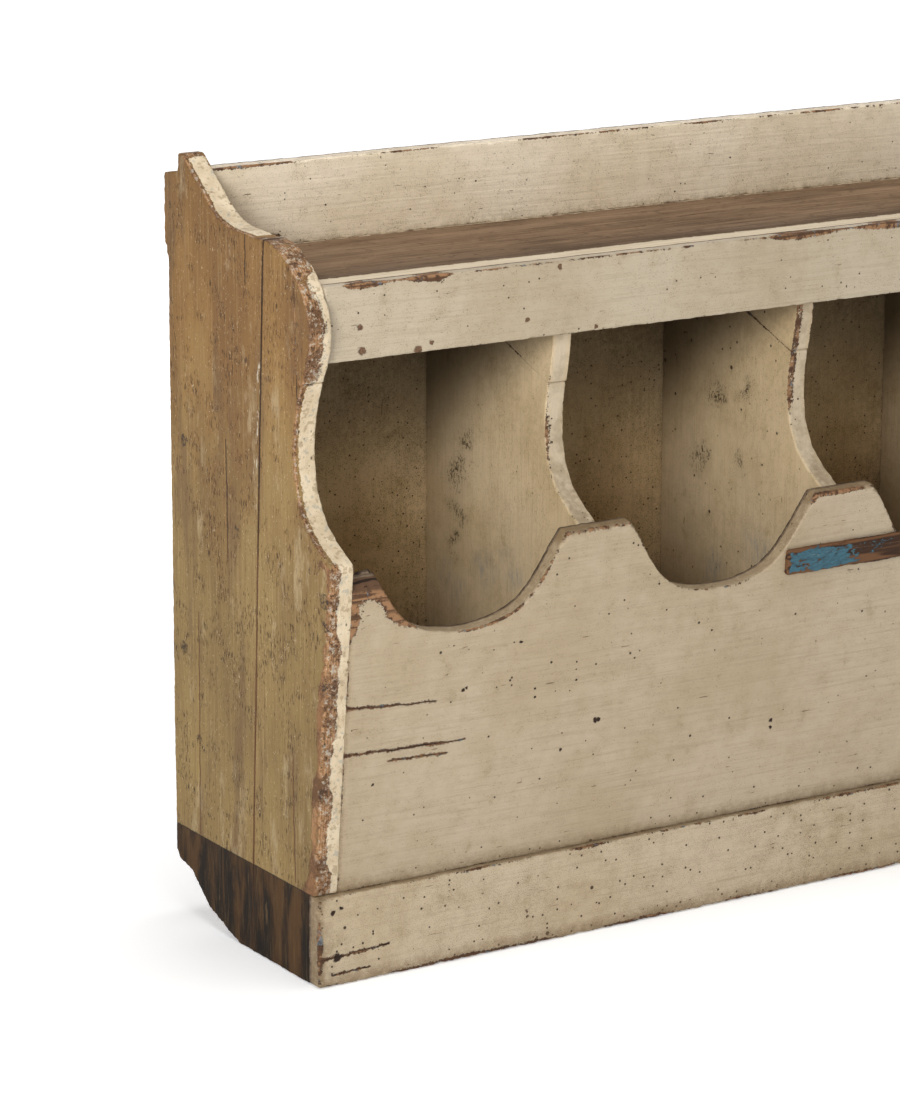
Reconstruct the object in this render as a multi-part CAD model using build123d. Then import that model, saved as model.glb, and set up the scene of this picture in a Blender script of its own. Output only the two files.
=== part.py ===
from build123d import *
import math
import os

# Long open bin unit: five deep bins in a row under a narrow shelf.
# Millimetres. X runs along the unit, Y from front to back, Z is up.
# The origin is the middle of the footprint, on the floor.

# ---- driving dimensions -------------------------------------------------
OVERALL_LENGTH = 1513.0
OVERALL_HEIGHT = 788.0
OVERALL_DEPTH = 321.0
SIDE_THICKNESS = 25.0
DIVIDER_THICKNESS = 21.5
DIVIDER_PITCH = 300.0
HOUSING_DEPTH = 6.0

PLINTH_HEIGHT = 92.0
PLINTH_THICKNESS = 20.0
PLINTH_SET_BACK = 26.0
FLOOR_THICKNESS = 18.0
CLEAT_SIZE = 25.0

TIP_HEIGHT = 430.0
PANEL_SET_BACK = 34.0
PANEL_THICKNESS = 18.0
SCALLOP_DEPTH = 85.0
SCALLOP_CENTRES = [-599.5, -295.0, 8.0, 300.0, 599.5]
SCALLOP_MOUTH = 196.0
BROKEN_WIDTH = 34.0
BROKEN_DROP = 28.0

SHELF_TOP = 690.0
SHELF_THICKNESS = 20.0
FASCIA_SET_BACK = 51.0
FASCIA_THICKNESS = 16.0
FASCIA_BOTTOM = 616.0
BACKSPLASH_TOP = 773.0
BACKSPLASH_FRONT = 270.0
BACKSPLASH_THICKNESS = 22.0
BACK_BOARD_THICKNESS = 10.0
SIDE_BACK_EDGE = 313.5

EAR_BACK = 292.0
FIN_BOTTOM = 683.0
FIN_TOP = 765.5
SADDLE_HEIGHT = 727.0
NOSE_SET_BACK = 37.5
NOSE_HEIGHT = 648.0
SIDE_SCOOP = 70.0
DIVIDER_SCOOP = 80.0
SCOOP_HEIGHT = 528.0
BLOCK_DEPTH = 90.0
BLOCK_RISE = 34.0

BATTEN_LENGTH = 150.0
BATTEN_HEIGHT = 27.0
BATTEN_THICKNESS = 5.5
NAIL_RADIUS = 1.3
NAIL_HEAD_RADIUS = 2.6
NAIL_HEAD_THICKNESS = 1.2
NAIL_LENGTH = 38.0

# ---- derived ------------------------------------------------------------
HALF = OVERALL_LENGTH / 2
FRONT = -OVERALL_DEPTH / 2
INSIDE = HALF - SIDE_THICKNESS
FLOOR_TOP = PLINTH_HEIGHT
PLINTH_BACK = PLINTH_SET_BACK + PLINTH_THICKNESS
BACK_FACE = SIDE_BACK_EDGE - BACK_BOARD_THICKNESS
SLOPE = math.atan2(PANEL_SET_BACK, TIP_HEIGHT - PLINTH_HEIGHT)
SLOPE_LENGTH = math.hypot(PANEL_SET_BACK, TIP_HEIGHT - PLINTH_HEIGHT)
PANEL_SHIFT = PANEL_THICKNESS / math.cos(SLOPE)
BIG = 4000.0

divider_lefts = [
    (k - 1.5) * DIVIDER_PITCH - DIVIDER_THICKNESS / 2 for k in range(4)
]

os.makedirs("parts", exist_ok=True)
written = {}


def side_plane(left):
    """Sketch plane whose x is depth from the front tip and y is height."""
    return Plane(origin=(left, FRONT, 0), x_dir=(0, 1, 0), z_dir=(1, 0, 0))


def slab(outline, left, thickness):
    """Extrude a closed depth-height outline along the length."""
    face = make_face(outline)
    return extrude(side_plane(left) * face, amount=thickness)


def block(x0, x1, y0, y1, z0, z1):
    """Box from its corners; y is depth from the front tip."""
    size = (x1 - x0, y1 - y0, z1 - z0)
    middle = ((x0 + x1) / 2, FRONT + (y0 + y1) / 2, (z0 + z1) / 2)
    return Pos(*middle) * Box(*size)


def side_front_edge():
    """Front edge of a side from the ear over the shoulder to the tip."""
    ear = (EAR_BACK - 9, OVERALL_HEIGHT)
    ear_foot = (224, 742)
    saddle_back = (200, 731.5)
    saddle_front = (136, SADDLE_HEIGHT - 1)
    shoulder = (78, 711)
    nose = (NOSE_SET_BACK, NOSE_HEIGHT)
    scoop = (SIDE_SCOOP, SCOOP_HEIGHT)
    scoop_low = (52, 468)
    lip = (19, 441)
    tip = (0, TIP_HEIGHT)
    ear_fall = Line(ear, ear_foot)
    saddle = Spline(
        ear_foot, saddle_back, saddle_front, tangents=[(-1, -0.75), (-1, -0.1)]
    )
    front_part = Spline(
        saddle_front, shoulder, nose, (59, 585), scoop, scoop_low, lip, tip
    )
    return ear_fall + saddle, front_part


def side_board(left):
    """Whole side outline, before it is split into its boards."""
    back_part, front_part = side_front_edge()
    slope_foot = (PANEL_SET_BACK, PLINTH_HEIGHT)
    tip = (0, TIP_HEIGHT)
    lower = Polyline(
        tip,
        slope_foot,
        (PLINTH_BACK, PLINTH_HEIGHT),
        (PLINTH_BACK, 0),
        (SIDE_BACK_EDGE, 0),
        (SIDE_BACK_EDGE, FIN_BOTTOM),
        (SIDE_BACK_EDGE + 2.5, FIN_BOTTOM + 1),
        (SIDE_BACK_EDGE + 2.5, FIN_BOTTOM + 9),
        (OVERALL_DEPTH, FIN_BOTTOM + 11),
        (OVERALL_DEPTH, FIN_TOP - 3),
        (OVERALL_DEPTH - 2, FIN_TOP),
        (EAR_BACK, FIN_TOP + 4),
        (EAR_BACK, OVERALL_HEIGHT),
        (EAR_BACK - 9, OVERALL_HEIGHT),
    )
    outline = back_part + front_part + lower
    return slab(outline, left, SIDE_THICKNESS)


def region(points, left, thickness):
    """Closed straight-sided region, used to divide a side or divider."""
    return slab(Polyline(*points, points[0]), left, thickness)


def divider_blank(left):
    """Divider outline: open scoop above, straight behind the panel."""
    under_shelf = SHELF_TOP - SHELF_THICKNESS
    fascia_back = FASCIA_SET_BACK + FASCIA_THICKNESS
    panel_top = PANEL_SHIFT
    panel_foot = PANEL_SET_BACK + PANEL_SHIFT
    curve = Spline(
        (fascia_back, 606),
        (75, 563),
        (DIVIDER_SCOOP, SCOOP_HEIGHT),
        (62.5, 462),
        (36, 440),
        (panel_top, TIP_HEIGHT),
    )
    lower = Polyline(
        (panel_top, TIP_HEIGHT),
        (panel_foot, FLOOR_TOP),
        (BACK_FACE, FLOOR_TOP),
        (BACK_FACE, under_shelf),
        (fascia_back, under_shelf),
        (fascia_back, 606),
    )
    return slab(curve + lower, left, DIVIDER_THICKNESS)


def block_region(front, height, depth, left, thickness):
    """Region of a corner block: its lower joint rises to the back."""
    points = [
        (front - 40, height - 40 * BLOCK_RISE / BLOCK_DEPTH),
        (front + depth, height + depth * BLOCK_RISE / BLOCK_DEPTH),
        (front + depth, OVERALL_HEIGHT + 50),
        (front - 90, OVERALL_HEIGHT + 50),
        (front - 90, height - 40 * BLOCK_RISE / BLOCK_DEPTH),
    ]
    return region(points, left, thickness)


def joint_depth(height):
    """Depth of the glued joint between the two boards of a side."""
    return 154.0 - (height - PLINTH_HEIGHT) * 0.047


def panel_plane():
    """Plane of the leaning front face, x along the unit, y up the slope."""
    return Plane(
        origin=(0, FRONT + PANEL_SET_BACK, PLINTH_HEIGHT),
        x_dir=(1, 0, 0),
        z_dir=(0, -math.cos(SLOPE), -math.sin(SLOPE)),
    )


def scallop(centre):
    """Rounded bite out of the top edge of the front panel."""
    half = SCALLOP_MOUTH / 2
    top = SLOPE_LENGTH
    curve = Spline(
        (centre - half - 20, top + 6),
        (centre - half, top - 26),
        (centre - half * 0.7, top - SCALLOP_DEPTH * 0.77),
        (centre, top - SCALLOP_DEPTH),
        (centre + half * 0.7, top - SCALLOP_DEPTH * 0.77),
        (centre + half, top - 26),
        (centre + half + 20, top + 6),
    )
    close = Line(
        (centre + half + 20, top + 6), (centre - half - 20, top + 6)
    )
    face = make_face(curve + close)
    return extrude(panel_plane() * face, amount=-60) + extrude(
        panel_plane() * face, amount=20
    )


def nail(x, depth, height, tilted=False):
    """Cut-headed nail driven towards the back, head flush with the face."""
    if tilted:
        away = (0, math.cos(SLOPE), math.sin(SLOPE))
    else:
        away = (0, 1, 0)
    start = Plane(origin=(x, FRONT + depth, height), z_dir=away)
    head = extrude(start * Circle(NAIL_HEAD_RADIUS), NAIL_HEAD_THICKNESS)
    shank = extrude(start * Circle(NAIL_RADIUS), NAIL_LENGTH)
    return head + shank


def panel_depth(height):
    """Depth of the front face of the leaning panel at a height."""
    return PANEL_SET_BACK * (TIP_HEIGHT - height) / (
        TIP_HEIGHT - PLINTH_HEIGHT
    )


def mirrored(shape):
    return mirror(shape, about=Plane.YZ)


def drill(shape, nails):
    """Take the nails out of a board that they pass through."""
    for one in nails:
        box = one.bounding_box()
        board = shape.bounding_box()
        apart = (
            box.max.X < board.min.X
            or box.min.X > board.max.X
            or box.max.Z < board.min.Z
            or box.min.Z > board.max.Z
        )
        if not apart:
            shape = shape - one
    return shape


# ---- fastenings ---------------------------------------------------------
divider_middles = [left + DIVIDER_THICKNESS / 2 for left in divider_lefts]
side_middles = [-HALF + SIDE_THICKNESS / 2, HALF - SIDE_THICKNESS / 2]

panel_nails = []
for x in divider_middles:
    for height in (170, 300, 390):
        panel_nails.append(nail(x, panel_depth(height), height, True))

fascia_nails = []
for x in divider_middles:
    for height in (632, 655):
        fascia_nails.append(nail(x, FASCIA_SET_BACK, height))

shelf_nails = []
for k in range(5):
    x = (k - 2) * DIVIDER_PITCH
    height = SHELF_TOP - SHELF_THICKNESS / 2
    shelf_nails.append(nail(x, FASCIA_SET_BACK, height))

plinth_nails = []
for x in side_middles:
    for height in (28, 66):
        plinth_nails.append(nail(x, PLINTH_SET_BACK, height))
for k in range(5):
    x = (k - 2) * DIVIDER_PITCH
    height = FLOOR_TOP - FLOOR_THICKNESS / 2
    plinth_nails.append(nail(x, PLINTH_SET_BACK, height))

# ---- boards that run the full length ------------------------------------
shelf = block(
    -INSIDE - HOUSING_DEPTH,
    INSIDE + HOUSING_DEPTH,
    FASCIA_SET_BACK + FASCIA_THICKNESS,
    BACK_FACE,
    SHELF_TOP - SHELF_THICKNESS,
    SHELF_TOP,
)
floor_board = block(
    -INSIDE - HOUSING_DEPTH,
    INSIDE + HOUSING_DEPTH,
    PLINTH_BACK,
    BACK_FACE,
    FLOOR_TOP - FLOOR_THICKNESS,
    FLOOR_TOP,
)
fascia = block(
    -INSIDE,
    INSIDE,
    FASCIA_SET_BACK,
    FASCIA_SET_BACK + FASCIA_THICKNESS,
    FASCIA_BOTTOM,
    SHELF_TOP,
)
backsplash = block(
    -INSIDE,
    INSIDE,
    BACKSPLASH_FRONT,
    BACKSPLASH_FRONT + BACKSPLASH_THICKNESS,
    SHELF_TOP,
    BACKSPLASH_TOP,
)
plinth = block(
    -HALF, HALF, PLINTH_SET_BACK, PLINTH_BACK, 0, PLINTH_HEIGHT
)
shelf_blank = shelf
floor_blank = floor_board

# ---- front panel with one scallop per bin -------------------------------
panel = extrude(
    panel_plane()
    * Pos(0, SLOPE_LENGTH / 2 - 10)
    * Rectangle(2 * INSIDE, SLOPE_LENGTH + 20),
    amount=-PANEL_THICKNESS,
)
panel = panel - block(
    -BIG, BIG, -BIG, BIG, PLINTH_HEIGHT - 100, PLINTH_HEIGHT
)
for centre in SCALLOP_CENTRES:
    panel = panel - scallop(centre)
# the first half bump has split away along the grain
broken = block(
    -INSIDE - 1,
    -INSIDE + BROKEN_WIDTH,
    -30,
    60,
    TIP_HEIGHT - BROKEN_DROP,
    TIP_HEIGHT + 30,
)
panel = panel - broken
panel = drill(panel, panel_nails)
panel = panel.solid() if len(panel.solids()) == 1 else panel

# ---- painted batten nailed over one bump --------------------------------
batten_x = 0.5 * (SCALLOP_CENTRES[1] + SCALLOP_CENTRES[2]) + 4
batten_up = SLOPE_LENGTH - 69
batten = extrude(
    panel_plane()
    * Pos(batten_x, batten_up)
    * RectangleRounded(BATTEN_LENGTH, BATTEN_HEIGHT, 3),
    amount=BATTEN_THICKNESS,
)
batten_nails = []
for offset in (-0.32, 0.32):
    spot = panel_plane() * Pos(
        batten_x + offset * BATTEN_LENGTH, batten_up, BATTEN_THICKNESS
    )
    place = spot.origin if isinstance(spot, Plane) else spot.position
    batten_nails.append(
        nail(place.X, place.Y - FRONT, place.Z, True)
        - block(-BIG, BIG, 23, BIG, 0, BIG)
    )
batten = drill(batten, batten_nails)
panel = drill(panel, batten_nails)

# ---- sides: rear board, front board and nose block ----------------------
left_side = side_board(-HALF) - shelf_blank - floor_blank
left_side = drill(left_side, plinth_nails)
foot, crown = -10, OVERALL_HEIGHT + 10
front_region = region(
    [
        (-60, foot),
        (joint_depth(foot), foot),
        (joint_depth(crown), crown),
        (-60, crown),
    ],
    -HALF,
    SIDE_THICKNESS,
)
nose_region = region(
    [
        (-60, 592),
        (57, 598),
        (65, 610),
        (66.5, SHELF_TOP),
        (74, SHELF_TOP + 40),
        (74, crown),
        (-60, crown),
    ],
    -HALF,
    SIDE_THICKNESS,
)
side_rear = left_side - front_region
side_front_all = left_side & front_region
side_nose = side_front_all & nose_region
side_front = side_front_all - nose_region

right_rear = mirrored(side_rear)
right_front = mirrored(side_front)
right_nose = mirrored(side_nose)

# rotted rear foot of the left side only
chewed = region(
    [
        (170, -20),
        (186, 1),
        (207, 7),
        (246, 21),
        (281, 49),
        (306, 55),
        (330, 80),
        (330, -20),
    ],
    -HALF - 1,
    SIDE_THICKNESS + 2,
)
side_rear = side_rear - chewed

# ---- dividers with their corner blocks ----------------------------------
dividers = []
corner_blocks = []
for left in divider_lefts:
    blank = divider_blank(left)
    blank = drill(blank, panel_nails + fascia_nails)
    upper = block_region(75, 562, BLOCK_DEPTH, left, DIVIDER_THICKNESS)
    dividers.append(blank - upper)
    corner_blocks.append(blank & upper)

# ---- back boards, one behind each bin -----------------------------------
back_boards = []
back_edges = [-INSIDE] + divider_middles + [INSIDE]
for k in range(5):
    back_boards.append(
        block(
            back_edges[k],
            back_edges[k + 1],
            BACK_FACE,
            SIDE_BACK_EDGE,
            FLOOR_TOP - FLOOR_THICKNESS,
            SHELF_TOP,
        )
    )

# ---- cleats under the floor ---------------------------------------------
cleat = block(
    -INSIDE,
    -INSIDE + CLEAT_SIZE,
    PLINTH_BACK,
    180,
    FLOOR_TOP - FLOOR_THICKNESS - CLEAT_SIZE,
    FLOOR_TOP - FLOOR_THICKNESS,
)

shelf = drill(shelf, shelf_nails)
floor_board = drill(floor_board, plinth_nails)
fascia = drill(fascia, fascia_nails + shelf_nails)
plinth = drill(plinth, plinth_nails)

nodes = {
    "side_left_rear_board": side_rear,
    "side_left_front_board": side_front,
    "side_left_nose_block": side_nose,
    "side_right_rear_board": right_rear,
    "side_right_front_board": right_front,
    "side_right_nose_block": right_nose,
    "shelf_board": shelf,
    "fascia_rail": fascia,
    "backsplash_board": backsplash,
    "front_panel": panel,
    "plinth_board": plinth,
    "floor_board": floor_board,
    "front_batten": batten,
    "floor_cleat_left": cleat,
    "floor_cleat_right": mirrored(cleat),
    "nails_front_panel": Compound(panel_nails),
    "nails_fascia": Compound(fascia_nails),
    "nails_shelf": Compound(shelf_nails),
    "nails_plinth": Compound(plinth_nails),
    "nails_batten": Compound(batten_nails),
}
for k in range(4):
    nodes[f"divider_{k + 1}"] = dividers[k]
    nodes[f"corner_block_{k + 1}"] = corner_blocks[k]
for k in range(5):
    nodes[f"back_board_{k + 1}"] = back_boards[k]

for name, shape in nodes.items():
    export_step(shape, f"parts/{name}.step")
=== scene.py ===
"""Blender looks for the long open bin unit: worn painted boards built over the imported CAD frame."""

import math

import bpy
import numpy as np
from mathutils import Matrix, Vector, geometry, kdtree, noise


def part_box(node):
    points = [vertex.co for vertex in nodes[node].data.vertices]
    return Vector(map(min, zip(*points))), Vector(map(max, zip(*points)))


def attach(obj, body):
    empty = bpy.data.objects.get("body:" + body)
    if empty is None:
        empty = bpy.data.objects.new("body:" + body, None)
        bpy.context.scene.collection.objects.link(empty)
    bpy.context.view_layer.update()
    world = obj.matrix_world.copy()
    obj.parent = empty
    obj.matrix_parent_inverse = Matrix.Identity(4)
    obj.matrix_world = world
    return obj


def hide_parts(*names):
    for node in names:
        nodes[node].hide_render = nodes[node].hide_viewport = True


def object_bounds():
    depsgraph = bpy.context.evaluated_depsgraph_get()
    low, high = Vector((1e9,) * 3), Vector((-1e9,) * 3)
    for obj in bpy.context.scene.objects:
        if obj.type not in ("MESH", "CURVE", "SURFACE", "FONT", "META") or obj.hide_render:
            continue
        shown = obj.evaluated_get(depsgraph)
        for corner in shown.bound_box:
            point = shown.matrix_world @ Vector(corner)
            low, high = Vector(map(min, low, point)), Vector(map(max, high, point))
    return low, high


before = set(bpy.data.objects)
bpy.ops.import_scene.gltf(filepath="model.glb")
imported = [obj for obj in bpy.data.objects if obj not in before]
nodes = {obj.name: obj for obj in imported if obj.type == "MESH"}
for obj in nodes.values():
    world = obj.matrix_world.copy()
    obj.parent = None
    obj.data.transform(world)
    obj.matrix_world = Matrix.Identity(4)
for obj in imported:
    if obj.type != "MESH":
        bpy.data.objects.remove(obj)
cad_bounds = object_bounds()

MM = 0.001
Y_AXIS, Z_AXIS = Vector((0, 1, 0)), Vector((0, 0, 1))
FRONT, TOP, LEFT, RIGHT = (0, -1, 0), (0, 0, 1), (-1, 0, 0), (1, 0, 0)
PANEL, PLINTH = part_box("front_panel"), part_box("plinth_board")
SHELF_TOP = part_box("shelf_board")[1][2]
PLINTH_TOP = PLINTH[1][2]
FRONT_TIP = PANEL[0][1]
PANEL_TOP = PANEL[1][2]
PANEL_LEAN = 0.1006  # how far the panel leans forward for its height
LEFT_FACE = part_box("side_left_rear_board")[0][0]
WELD = 2e4  # steps to a metre when corners are welded


# ---- camera ---------------------------------------------------------------
def add_object(name, data):
    thing = bpy.data.objects.new(name, data)
    bpy.context.collection.objects.link(thing)
    return thing


def add_camera():
    """Long-lens camera to the left of the unit and above it."""
    yaw, pitch, roll = math.radians(32.38), math.radians(14.45), math.radians(0.13)
    turn = Matrix.Rotation(-yaw, 4, "Z") @ Matrix.Rotation(math.pi / 2 - pitch, 4, "X")
    turn = turn @ Matrix.Rotation(roll, 4, "Z")
    data = bpy.data.cameras.new("camera")
    data.sensor_fit = "VERTICAL"
    data.sensor_height = 36.0
    data.lens = 136.267148
    data.clip_end = 50.0
    data.dof.use_dof = False
    camera = add_object("camera", data)
    camera.matrix_world = Matrix.Translation((-2.7176, -3.4635, 1.4347)) @ turn
    bpy.context.scene.camera = camera


# ---- small helpers ----------------------------------------------------------
def wobble(points, seed, scale, amount):
    """Smooth one-value noise along a list of 3D points."""
    offset = Vector((seed * 7.31, seed * 3.17, seed * 5.77))
    return np.array([noise.noise(Vector(p) * scale + offset) * amount for p in points])


def smoothstep(low, high, value):
    """Smooth climb from 0 at low to 1 at high, which may be the lower of the two."""
    t = np.clip((value - low) / (high - low), 0, 1)
    return t * t * (3 - 2 * t)


def flat_face_normal(obj, guess):
    """Normal of the largest flat face that looks roughly along the guess."""
    area = {}
    for polygon in obj.data.polygons:
        if polygon.normal.dot(guess) > 0.8:
            key = tuple(round(c, 3) for c in polygon.normal)
            area[key] = area.get(key, 0) + polygon.area
    return Vector(max(area, key=area.get)).normalized()


def weld_key(point):
    """The same for points closer than about a twentieth of a millimetre."""
    return tuple(round(c * WELD) for c in point)


def outline(obj, normal):
    """Outer edge of the node's flat face that looks along the normal, as 3D points."""
    corners = [v.co for v in obj.data.vertices]
    height = [normal.dot(c) for c in corners]
    top = max(height)
    welded, weld = {}, []
    for c in corners:
        weld.append(welded.setdefault(weld_key(c), len(weld)))
    edges = {}
    for polygon in obj.data.polygons:
        if all(top - height[i] < 6e-5 for i in polygon.vertices):
            ring = [weld[i] for i in polygon.vertices]
            for a, b in zip(ring, ring[1:] + ring[:1]):
                if edges.pop((b, a), None) is None:
                    edges[(a, b)] = True
    follow = {a: b for a, b in edges}
    loops = []
    while follow:
        start, here = next(iter(follow.items()))
        follow.pop(start)
        loop = [start]
        while here != start and here in follow:
            loop.append(here)
            here = follow.pop(here)
        loops.append([corners[i] for i in loop])

    def perimeter(loop):
        return sum((a - b).length for a, b in zip(loop, loop[1:] + loop[:1]))

    return max(loops, key=perimeter), top, top - min(height)


def resample(points, step, soften):
    """Evenly spaced closed outline that keeps its corners, with the corners then worn round."""
    points = np.array(points)
    ahead = np.roll(points, -1, axis=0) - points
    keep = np.hypot(*ahead.T) > 1e-5
    points = points[keep]
    count = len(points)
    ahead = np.roll(points, -1, axis=0) - points
    angle = np.arctan2(ahead[:, 1], ahead[:, 0])
    turn = np.abs((angle - np.roll(angle, 1) + np.pi) % (2 * np.pi) - np.pi)
    corners = [i for i in range(count) if turn[i] > math.radians(22)]
    if not corners:
        corners = [0]
    out = []
    for here, there in zip(corners, corners[1:] + [corners[0] + count]):
        run = points[[i % count for i in range(here, there + 1)]]
        lengths = np.hypot(*np.diff(run, axis=0).T)
        along = np.concatenate([[0], np.cumsum(lengths)])
        pieces = max(1, int(round(along[-1] / step)))
        at = np.linspace(0, along[-1], pieces + 1)[:-1]
        out.append(np.stack([np.interp(at, along, run[:, k]) for k in (0, 1)], axis=1))
    out = np.concatenate(out)
    for _ in range(soften):
        out = 0.5 * out + 0.25 * (np.roll(out, 1, axis=0) + np.roll(out, -1, axis=0))
    return out


def inward_normals(points):
    """Unit normals that point into an anticlockwise closed outline."""
    tangent = np.roll(points, -1, axis=0) - np.roll(points, 1, axis=0)
    tangent /= np.maximum(np.hypot(*tangent.T), 1e-9)[:, None]
    return np.stack([-tangent[:, 1], tangent[:, 0]], axis=1)


def inside(points, loop):
    """Even-odd test of many 2D points against a closed outline."""
    x, y = points[:, 0][:, None], points[:, 1][:, None]
    ax, ay = loop[:, 0][None], loop[:, 1][None]
    bx, by = np.roll(loop, -1, axis=0).T
    crosses = (ay > y) != (by[None] > y)
    at = ax + (y - ay) * (bx[None] - ax) / np.where(by[None] == ay, 1e-12, by[None] - ay)
    return (np.sum(crosses & (x < at), axis=1) % 2) == 1


def tree_of(points):
    """Search tree of 2D points."""
    tree = kdtree.KDTree(len(points))
    for i, p in enumerate(points):
        tree.insert((p[0], p[1], 0), i)
    tree.balance()
    return tree


def nearest(tree, points):
    """Distance from each 2D point to the closest point of the tree."""
    return np.array([tree.find((p[0], p[1], 0))[2] for p in points])


def crack_lines(cracks, seed):
    """Each crack becomes three wandering lines: two lips and a deep middle."""
    points, edges, deep = [], [], []
    for start, end, width, depth in cracks:
        start, end = np.array(start), np.array(end)
        run = end - start
        length = np.hypot(*run)
        side = np.array([-run[1], run[0]]) / length
        pieces = max(4, int(length / (3.0 * MM)))
        for lip in (-1, 0, 1):
            first = len(points)
            for k in range(pieces + 1):
                t = k / pieces
                place = start + run * t
                seat = Vector((place[0] * 60, place[1] * 60, seed))
                drift = noise.noise(seat) * 1.1 * MM + noise.noise(seat * 6) * 0.5 * MM
                gape = width * min(1, 5 * (1 - t) + 0.05) + 0.06 * MM
                points.append(place + side * (drift + lip * gape))
                deep.append(depth * min(1, 12 * t + 0.1, 4 * (1 - t)) if lip == 0 else 0.0)
                if k:
                    edges.append((first + k - 1, first + k))
    return points, edges, deep


# ---- the board builder -----------------------------------------------------
def rounded_rings(front_r, back_r, thick):
    """Inset and depth of each ring of points: front arris, edge and back arris."""
    turns = [math.radians(a) for a in (0, 20, 42, 66, 90)]
    rings = [(front_r * (1 - math.sin(a)), front_r * (1 - math.cos(a))) for a in turns]
    middle = max(2, int(thick / (4.5 * MM)))
    for k in range(1, middle):
        rings.append((0 * front_r, front_r + (thick - back_r - front_r) * (k / middle)))
    for a in reversed(turns):
        rings.append((back_r * (1 - math.sin(a)), thick - back_r * (1 - math.cos(a))))
    return rings


def face_points(rim, rim_tree, inward, front_r, gap, seed):
    """Points inside the face: two bands that follow the rim, then a grid finer across the grain."""
    found = []
    for further in (1.4 * MM, 4.2 * MM):
        band = rim[::2] + inward[::2] * (front_r[::2] + further)[:, None]
        found.append(band[nearest(rim_tree, band) > (front_r[::2] + further) * 0.86])
    low, high = rim.min(axis=0), rim.max(axis=0)
    xs, ys = (np.arange(low[k] + gap[k] / 2, high[k], gap[k]) for k in (0, 1))
    grid = np.stack(np.meshgrid(xs, ys), axis=-1).reshape(-1, 2)
    if len(grid):
        seats = [Vector((p[0] * 997, p[1] * 991, seed)) for p in grid]
        shift = np.array([(noise.noise(s + Vector((9.3, -1.5, -7.9))), noise.noise(s)) for s in seats])
        grid = grid + shift * np.array(gap) * 0.28
        found.append(grid[nearest(rim_tree, grid) > front_r.max() + 6.0 * MM])
    found = np.concatenate(found)
    return found[inside(found, rim)] if len(found) else found


def open_cracks(cracks, rim, rim_tree, reach, points, seed):
    """Lines of the cracks, placed by shares of the face, and the face points moved out of their way."""
    low = rim.min(axis=0)
    size = rim.max(axis=0) - low
    placed = [(low + size * np.array(a), low + size * np.array(b), w * MM, d * MM) for a, b, w, d in cracks]
    lines, edges, deep = crack_lines(placed, seed)
    tree = tree_of([q for q, d in zip(lines, deep) if d > 0])
    flank = np.array(lines)
    flank = np.concatenate([flank + (0, 2.6 * MM), flank - (0, 2.6 * MM), flank + (2.6 * MM, 0)])[::2]
    flank = flank[inside(flank, rim) & (nearest(rim_tree, flank) > reach + 1.0 * MM)]
    flank = flank[nearest(tree, flank) > 1.8 * MM]
    points = np.concatenate([points[nearest(tree, points) > 4.0 * MM], flank])
    points = points[nearest(tree_of(lines), points) > 1.0 * MM]
    return lines, edges, deep, tree, points


def triangulate(border, lines, line_edges, deep, others):
    """Inner points as (across, up, depth), and triangles that number the border points first."""
    count = len(border)
    inputs = [Vector(p) for group in (border, lines, others) for p in group]
    edges = [(i, (i + 1) % count) for i in range(count)]
    edges += [(a + count, b + count) for a, b in line_edges]
    places, _, triangles, sources, _, _ = geometry.delaunay_2d_cdt(inputs, edges, [], 1, 1e-7)
    number, inner = [], []
    for place, origin in zip(places, sources):
        first = min(origin) if origin else -1
        if 0 <= first < count:
            number.append(first)
            continue
        cracked = count <= first < count + len(lines)
        number.append(count + len(inner))
        inner.append((place[0], place[1], deep[first - count] if cracked else 0.0))
    return np.array(inner).reshape(-1, 3), [[number[i] for i in t] for t in triangles]


def skin(count, columns, triangles, inner_count):
    """Faces of a closed board: quads between the rings, and the triangles in front and behind."""
    faces = []
    last = (columns - 1) * count
    for a in range(0, last, count):
        b = a + count
        faces += [(a + i, b + i, b + (i + 1) % count, a + (i + 1) % count) for i in range(count)]
    for triangle in triangles:
        faces.append(tuple(i if i < count else last + i for i in triangle))
        faces.append(tuple(last + i if i < count else last + inner_count + i for i in reversed(triangle)))
    return faces


def stand_for(node, name, verts, faces, material):
    """New piece that takes a CAD node's place."""
    mesh = bpy.data.meshes.new(name)
    mesh.from_pydata(verts, [], faces)
    mesh.update()
    mesh.materials.append(material)
    piece = add_object(name, mesh)
    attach(piece, "root")
    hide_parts(node)
    return mesh


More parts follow.
